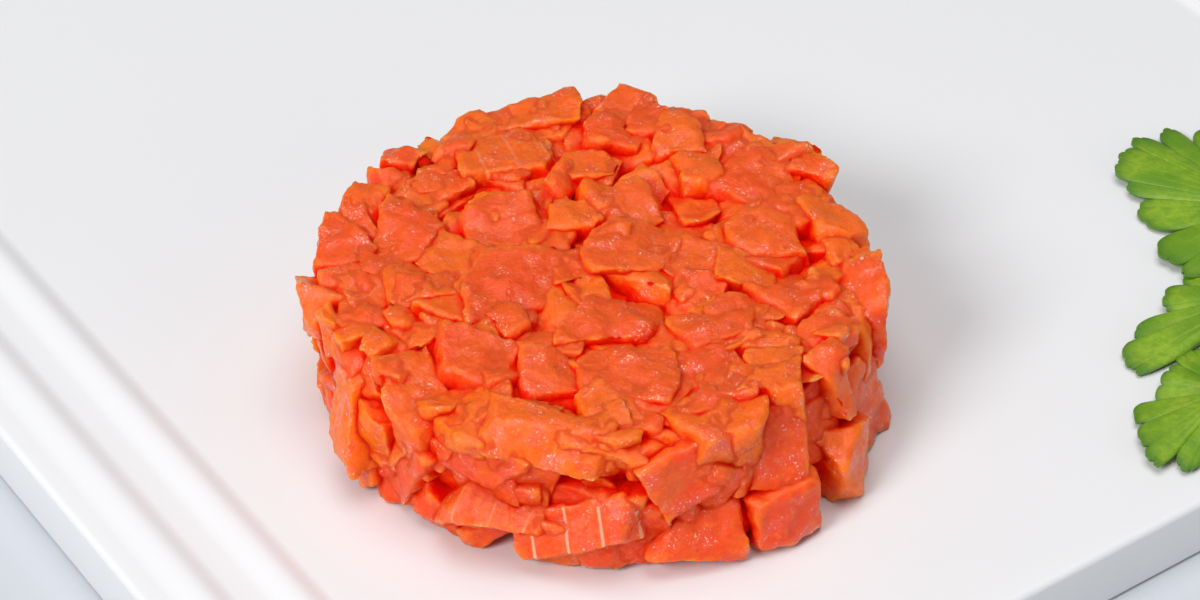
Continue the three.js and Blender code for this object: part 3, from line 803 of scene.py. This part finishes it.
# %% Start the salmon
SALMON_RED = (0.86, 0.046, 0.001, 1)
SALMON_PINK = (0.86, 0.070, 0.005, 1)
SALMON_ORANGE = (0.92, 0.155, 0.001, 1)
SALMON_PALE = (0.95, 0.170, 0.003, 1)
# painted sheen: a pale milky colour for the upper side, standing in for the room's light on its moist
# skin
SALMON_PAINTED_SHEEN = (0.69, 0.110, 0.014, 1)
# painted shade: a deep red for the creases, where little light reaches
SALMON_PAINTED_CREASE_SHADE = (0.84, 0.008, 0.0004, 1)
# peach: one of the speckle colours, and the painted glow of light shining through thin edges
SALMON_PEACH_AND_PAINTED_GLOW = (1.0, 0.215, 0.008, 1)
# painted highlight: a pale pink for the tiny glints of the wet surface
SALMON_PAINTED_GLINT = (1.0, 0.560, 0.400, 1)
FAT_WHITE = (0.93, 0.52, 0.33, 1)

salmon, tree, shader = new_material(
    "raw_salmon",
    {
        "Subsurface Weight": 1.0,
        "Subsurface Radius": (1.0, 0.8, 0.5),
        "Subsurface Scale": 0.0026,
        "Coat Roughness": 0.13,
        "IOR": 1.38,
    },
)
grain = add_node(tree, "ShaderNodeAttribute", {"attribute_name": "grain"}).outputs["Vector"]
tone, fat, upward = kept(tree, "tone"), kept(tree, "fat"), kept(tree, "upward")
shelter, thinness = kept(tree, "shelter"), kept(tree, "thinness")
print("salmon reads grain, tone, fat, shelter, thinness and upward")

# %% [markdown]
# ## Its colour
# Every piece comes from another part of the fillet, so each has its own tone. Within a piece the
# colour drifts between red and a paler orange, and its torn surface is speckled with both. A few
# pieces were cut across the fat, which shows as thin pale lines a few millimetres apart. Over that
# go painted light and shade: a painted milky sheen on the upper side, a painted peach glow on the
# thin edges, a painted deep red shade in the creases, and last tiny painted pale glints of the wet
# surface, which come in patches and only where the air reaches.

# %% Colour the salmon
FAT_LINES = 0.057
TONES = [(0.0, SALMON_RED), (0.4, SALMON_PINK), (0.7, SALMON_ORANGE), (1.0, SALMON_PALE)]

body = add_ramp(tree, tone, TONES)
paler, redder = noise(tree, grain, 0.14, 2), noise(tree, grain, 0.3, 2)
body = mix_colours(tree, share_of(tree, paler, 0.45, 0.7, 0.5), body, SALMON_PALE)
body = mix_colours(tree, share_of(tree, redder, 0.5, 0.7, 0.6), body, SALMON_RED)
crumbs = noise(tree, grain, 1.1, 4, 0.7)
body = mix_colours(tree, share_of(tree, crumbs, 0.5, 0.75, 0.6), body, SALMON_PEACH_AND_PAINTED_GLOW)
body = mix_colours(tree, share_of(tree, crumbs, 0.5, 0.3, 0.6), body, SALMON_RED)
bands = add_node(
    tree,
    "ShaderNodeTexWave",
    {"Scale": FAT_LINES, "Distortion": 1.6, "Detail": 2.0, "Detail Scale": 0.3},
    {"Vector": grain},
)
lines = share_of(tree, bands.outputs["Fac"], 0.965, 1.0, 0.8)
body = mix_colours(tree, product(tree, lines, fat), body, FAT_WHITE)
# painted sheen: faces that look up are mixed towards the milky colour
body = mix_colours(tree, share_of(tree, upward, 0.35, 0.95, 0.5), body, SALMON_PAINTED_SHEEN)
# painted glow: thin edges are mixed towards peach, standing in for light shining through them
body = mix_colours(tree, share_of(tree, thinness, 0.3, 0.85, 0.7), body, SALMON_PEACH_AND_PAINTED_GLOW)
# painted shade: sheltered creases and holes are mixed towards the deep red
body = mix_colours(tree, share_of(tree, shelter, 0.27, 0.72, 1.0), body, SALMON_PAINTED_CREASE_SHADE)
patches = share_of(tree, noise(tree, grain, 0.3, 3), 0.5, 0.62, 1.0)
specks = share_of(tree, noise(tree, grain, 2.3, 1), 0.6, 0.72, 0.8)
open_air = share_of(tree, shelter, 0.7, 0.25, 1.0)
glints = product(tree, product(tree, patches, specks), open_air)
# painted highlights: tiny pale glints are mixed into the colour in patches where the air reaches
body = mix_colours(tree, glints, body, SALMON_PAINTED_GLINT)
tree.links.new(body, shader.inputs["Base Color"])
print("salmon coloured")

# %% [markdown]
# ## Its surface
# The flesh is made of fibres, which lie along the piece, with fine pores between them. The fibres are
# a noise stretched along the grain. The wet film lies over them as a clear coat with ripples of its
# own. It is thickest in the patches that glint, and missing in the creases, where no light shines in.

# %% Give the salmon its surface
stretched = add_node(tree, "ShaderNodeMapping", {"Scale": (0.3, 1.6, 1.6)}, {"Vector": grain})
fibres = noise(tree, stretched.outputs["Vector"], 0.8, 3, 0.6)
pores = noise(tree, grain, 1.3, 3, 0.65)
ripples = noise(tree, grain, 0.8, 3, 0.6)
wetness = product(tree, spread(tree, patches, 0.3, 1.0), open_air)
flesh = bump(tree, pores, 0.5, 0.0005, bump(tree, fibres, 0.3, 0.0005))
water = bump(tree, glints, 1.0, 0.0002, bump(tree, ripples, 0.8, 0.0008))
tree.links.new(spread(tree, pores, 0.3, 0.5), shader.inputs["Roughness"])
tree.links.new(spread(tree, open_air, 0.05, 0.36), shader.inputs["Specular IOR Level"])
tree.links.new(wetness, shader.inputs["Coat Weight"])
tree.links.new(flesh, shader.inputs["Normal"])
tree.links.new(water, shader.inputs["Coat Normal"])

tartare.data.materials.clear()
tartare.data.materials.append(salmon)
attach(tartare, "root")
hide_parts("salmon_tartare")
print("salmon on", tartare.name)

# %% [markdown]
# ## The parsley's leaflets
# A leaflet of flat-leaf parsley is a thin fan with rounded teeth, each with small nicks of its own.
# The outline goes once round the leaflet, from notch to tip to notch. A flat grid is bent into that
# fan, one way across being the turn round the leaflet and the other the way out, and the sheet is
# then lifted in its middle so that it stands on its tips. Every point keeps how near it lies to a
# vein and to the edge, for the leaf's colour.

# %% Sizes of the parsley
PARSLEY = {"thickness": 0.6, "crown": 2.8, "tip": 1.35, "wave": 0.6, "waves": 5}
TOOTH_SHAPE = {"flat": 1.7, "round": 0.42}
TOOTH_STEPS = 24
NICKS = {"count": 3, "deepest": 0.7, "share": 0.09}
LEAFLET_RINGS = 16
VEIN_WIDTH = 0.16

# start: the first notch's heading in degrees and length. teeth: each tip's heading and length,
# then the heading and length of the notch after it. row: an even row of teeth that closes the turn
LEAFLETS = (
    {
        "name": "far",
        "x": DISC["x"] + 117,
        "y": DISC["y"] - 31.6,
        "start": (79, 21),
        "teeth": [
            (83.6, 28.2, 91.5, 22), (98.5, 28.8, 102.4, 26), (110.5, 27.8, 111.9, 27.2),
            (117.3, 27, 123.6, 23.5), (127.2, 23.6, 132.4, 18.7), (143, 21.3, 162.2, 12.2),
            (177.6, 22.6, 188.8, 20.5), (193.3, 23.3, 206, 11),
        ],
        "row": {"count": 9, "tip": (15, 27), "notch": (10, 20)},
    },
    {
        "name": "middle",
        "x": DISC["x"] + 101.3,
        "y": DISC["y"] - 48.4,
        "start": (129.7, 11.7),
        "teeth": [
            (151.5, 17, 159.5, 15.6), (168.4, 24.3, 169.5, 24), (179.1, 29.3, 181.8, 28.4),
            (184, 29.3, 187.6, 15.5),
        ],
        "row": {"count": 10, "tip": (14, 14), "notch": (10, 10)},
    },
    {
        "name": "near",
        "x": DISC["x"] + 79.2,
        "y": DISC["y"] - 63.6,
        "start": (63.1, 12),
        "teeth": [
            (75, 13.2, 92, 10.8), (118, 11, 146, 11.9), (165.7, 16.2, 168.2, 12.9),
            (184.4, 18.9, 185.9, 18.3), (192, 20.7, 193.3, 20.3), (196.8, 21, 198.5, 13.5),
            (207, 19, 214, 12.5),
        ],
        "row": {"count": 8, "tip": (14, 13), "notch": (11, 10)},
    },
)
STALK = {"x": DISC["x"] + 146, "y": DISC["y"] - 66, "radius": 0.9, "arch": 1.8, "bend": -1.2}
THIN_END = {"stalk": 0.9, "stem": 0.55}
FORK = {"x": DISC["x"] + 122, "y": DISC["y"] - 58, "lift": 1}
print(len(LEAFLETS), "leaflets")

# %% Model the leaflets


def teeth_of(leaflet):
    """A leaflet's teeth, each as the headings and lengths of its notch, its tip and the next notch."""
    teeth = []
    notch = leaflet["start"]
    for tip_heading, tip_length, heading, length in leaflet["teeth"]:
        teeth.append((*notch, tip_heading, tip_length, heading, length))
        notch = (heading, length)
    row = leaflet["row"]
    turn_left = leaflet["start"][0] + 360 - notch[0]
    for i in range(row["count"]):
        share = (i + 0.5) / row["count"]
        tip_length = row["tip"][0] + (row["tip"][1] - row["tip"][0]) * share
        length = row["notch"][0] + (row["notch"][1] - row["notch"][0]) * (share + 0.5 / row["count"])
        heading = notch[0] + turn_left / row["count"]
        if i == row["count"] - 1:
            length = leaflet["start"][1]
        teeth.append((*notch, (notch[0] + heading) / 2, tip_length, heading, length))
        notch = (heading, length)
    return teeth


def outline_point(teeth, turn):
    """The outline's heading in radians and length, where turn counts the teeth passed."""
    index = min(int(turn), len(teeth) - 1)
    from_heading, from_length, tip_heading, tip_length, to_heading, to_length = teeth[index]
    share = turn - index
    off = abs(1 - 2 * share)
    low_heading, low_length = (from_heading, from_length) if share < 0.5 else (to_heading, to_length)
    rounded = (1 - off ** TOOTH_SHAPE["flat"]) ** TOOTH_SHAPE["round"]
    heading = tip_heading + (low_heading - tip_heading) * off
    width = math.radians(abs(to_heading - from_heading)) * tip_length
    depth = min(NICKS["deepest"], NICKS["share"] * width)
    nick = depth * (1 - abs(math.sin(math.pi * NICKS["count"] * share)) ** 0.5)
    return math.radians(heading), low_length + (tip_length - low_length) * rounded - nick


def leaflet_height(angle, share, x):
    """The height of the leaflet's sheet above the plate."""
    ripple = PARSLEY["wave"] * share * math.sin(PARSLEY["waves"] * angle + x)
    return PARSLEY["tip"] + (PARSLEY["crown"] - PARSLEY["tip"]) * (1 - share**1.5) + ripple


def model_leaflet(leaflet):
    teeth = teeth_of(leaflet)
    deselect_all()
    bpy.ops.mesh.primitive_grid_add(
        x_subdivisions=TOOTH_STEPS * len(teeth), y_subdivisions=LEAFLET_RINGS, size=1
    )
    sheet = bpy.context.object
    sheet.name = "parsley_leaflet_" + leaflet["name"]
    veins, edges = [], []
    for corner in sheet.data.vertices:
        angle, reach = outline_point(teeth, (corner.co.x + 0.5) * len(teeth))
        share = corner.co.y + 0.5
        x = leaflet["x"] + reach * share * math.cos(angle)
        y = leaflet["y"] + reach * share * math.sin(angle)
        rise = leaflet_height(angle, share, leaflet["x"])
        aside = min(
            reach * share * abs(math.sin((angle - math.radians(tooth[2])) / 2)) for tooth in teeth
        )
        veins.append(math.exp(-((aside / VEIN_WIDTH) ** 2)) * (1 - share**2))
        edges.append(share**8)
        corner.co = Vector((x, y, PLATE["thickness"] + rise)) * MM
    for name, values in (("vein", veins), ("edge", edges)):
        sheet.data.attributes.new(name, "FLOAT", "POINT").data.foreach_set("value", values)
    bpy.ops.object.mode_set(mode="EDIT")
    bpy.ops.mesh.select_all(action="SELECT")
    bpy.ops.mesh.remove_doubles(threshold=0.01 * MM)
    bpy.ops.mesh.normals_make_consistent(inside=False)
    bpy.ops.object.mode_set(mode="OBJECT")
    wall = sheet.modifiers.new("wall", "SOLIDIFY")
    wall.thickness = PARSLEY["thickness"] * MM
    wall.offset = 0
    apply_modifiers(sheet)
    bpy.ops.object.shade_smooth_by_angle(angle=SMOOTH_BELOW)
    return sheet


leaflets = [model_leaflet(leaflet) for leaflet in LEAFLETS]
print({sheet.name: triangles(sheet) for sheet in leaflets})

# %% [markdown]
# ## The stalk
# The three leaflets grow from a fork in a round green stalk. A curve with a round bevel gives each
# stem, which thins a little towards the leaflet.

# %% Model the stalk


def model_stem(name, points, thin_end):
    """A round stem along a smooth curve through the points."""
    curve = bpy.data.curves.new(name, "CURVE")
    curve.dimensions = "3D"
    curve.bevel_depth = STALK["radius"] * MM
    curve.bevel_resolution = 4
    curve.use_fill_caps = True
    spline = curve.splines.new("NURBS")
    spline.points.add(len(points) - 1)
    for i, (target, point) in enumerate(zip(spline.points, points)):
        target.co = (*(point * MM), 1)
        target.radius = 1 + (thin_end - 1) * i / (len(points) - 1)
    spline.use_endpoint_u = True
    spline.order_u = 3
    stem = bpy.data.objects.new(name, curve)
    bpy.context.scene.collection.objects.link(stem)
    pick(stem)
    bpy.ops.object.convert(target="MESH")
    bpy.ops.object.shade_smooth()
    return bpy.context.object


low = PLATE["thickness"] + DISC["clearance"] + STALK["radius"]
stalk_end = Vector((STALK["x"], STALK["y"], low))
fork = Vector((FORK["x"], FORK["y"], low + FORK["lift"]))
halfway = (stalk_end + fork) / 2 + Vector((0, STALK["bend"], 0))
stems = [model_stem("stem_main", [stalk_end, halfway, fork], THIN_END["stalk"])]
for leaflet in LEAFLETS:
    middle = Vector((leaflet["x"], leaflet["y"], PLATE["thickness"] + PARSLEY["crown"]))
    between = (fork + middle) / 2
    between.z = low + STALK["arch"]
    stems.append(model_stem("stem_" + leaflet["name"], [fork, between, middle], THIN_END["stem"]))
stalk = join(stems, "parsley_stalk")
print("stalk:", triangles(stalk), "triangles")

# %% [markdown]
# ## The leaf's green
# A parsley leaf is a fresh yellow-green, mottled and paler along its veins, and near its edge it
# gets a painted shade of darker green. It is thin enough for light to come through, so a little of
# the light is let in as subsurface scattering.

# %% Make the leaf's green
LEAF_GREEN = (0.12, 0.27, 0.006, 1)
LEAF_LIGHT = (0.26, 0.41, 0.015, 1)
LEAF_VEIN = (0.27, 0.43, 0.030, 1)
LEAF_EDGE_PAINTED_SHADE = (0.06, 0.17, 0.010, 1)

leaf, tree, shader = new_material(
    "parsley_leaf",
    {
        "Subsurface Weight": 0.3,
        "Subsurface Radius": (0.4, 1.0, 0.1),
        "Subsurface Scale": 0.001,
    },
)
place = add_node(tree, "ShaderNodeTexCoord").outputs["Object"]
vein, edge = kept(tree, "vein"), kept(tree, "edge")
broad = share_of(tree, noise(tree, place, 110, 2), 0.35, 0.65, 1.0)
speckled = share_of(tree, noise(tree, place, 750, 3, 0.7), 0.35, 0.65, 0.6)
green = mix_colours(tree, speckled, mix_colours(tree, broad, LEAF_GREEN, LEAF_LIGHT), LEAF_GREEN)
green = mix_colours(tree, share_of(tree, vein, 0.2, 1.0, 0.7), green, LEAF_VEIN)
# painted shade: the leaf darkens towards its edge
green = mix_colours(tree, share_of(tree, edge, 0.3, 1.0, 0.8), green, LEAF_EDGE_PAINTED_SHADE)
tree.links.new(green, shader.inputs["Base Color"])
cells = noise(tree, place, 1400, 2)
tree.links.new(spread(tree, cells, 0.38, 0.58), shader.inputs["Roughness"])
tree.links.new(bump(tree, cells, 0.4, 0.0002), shader.inputs["Normal"])

stem_green, tree, shader = new_material(
    "parsley_stem",
    {
        "Roughness": 0.45,
        "Subsurface Weight": 0.2,
        "Subsurface Radius": (0.5, 1.0, 0.2),
        "Subsurface Scale": 0.001,
    },
)
place = add_node(tree, "ShaderNodeTexCoord").outputs["Object"]
ribs = noise(tree, place, 300, 3)
tree.links.new(mix_colours(tree, ribs, LEAF_LIGHT, LEAF_VEIN), shader.inputs["Base Color"])

for sheet in leaflets:
    sheet.data.materials.append(leaf)
stalk.data.materials.clear()
stalk.data.materials.append(stem_green)
for piece in [*leaflets, stalk]:
    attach(piece, "root")
    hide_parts("parsley")
print("green on", [piece.name for piece in [*leaflets, stalk]])

# %% [markdown]
# ## The table
# The plate stands on a pale table top. It is part of the setting and not of the dish.

# %% Lay the table
FLOOR_SIZE = 6.0
TABLE_TOP = (0.55, 0.575, 0.62, 1)
TABLE_LIGHT = (0.572, 0.598, 0.645, 1)

deselect_all()
bpy.ops.mesh.primitive_plane_add(size=FLOOR_SIZE, location=(0, 0, 0))
floor = bpy.context.object
floor.name = "table_top"
table, tree, shader = new_material("table_top", {"Roughness": 0.6})
place = add_node(tree, "ShaderNodeTexCoord").outputs["Object"]
cloudy = noise(tree, place, 6, 3)
tree.links.new(mix_colours(tree, cloudy, TABLE_TOP, TABLE_LIGHT), shader.inputs["Base Color"])
floor.data.materials.append(table)
print("table top laid")
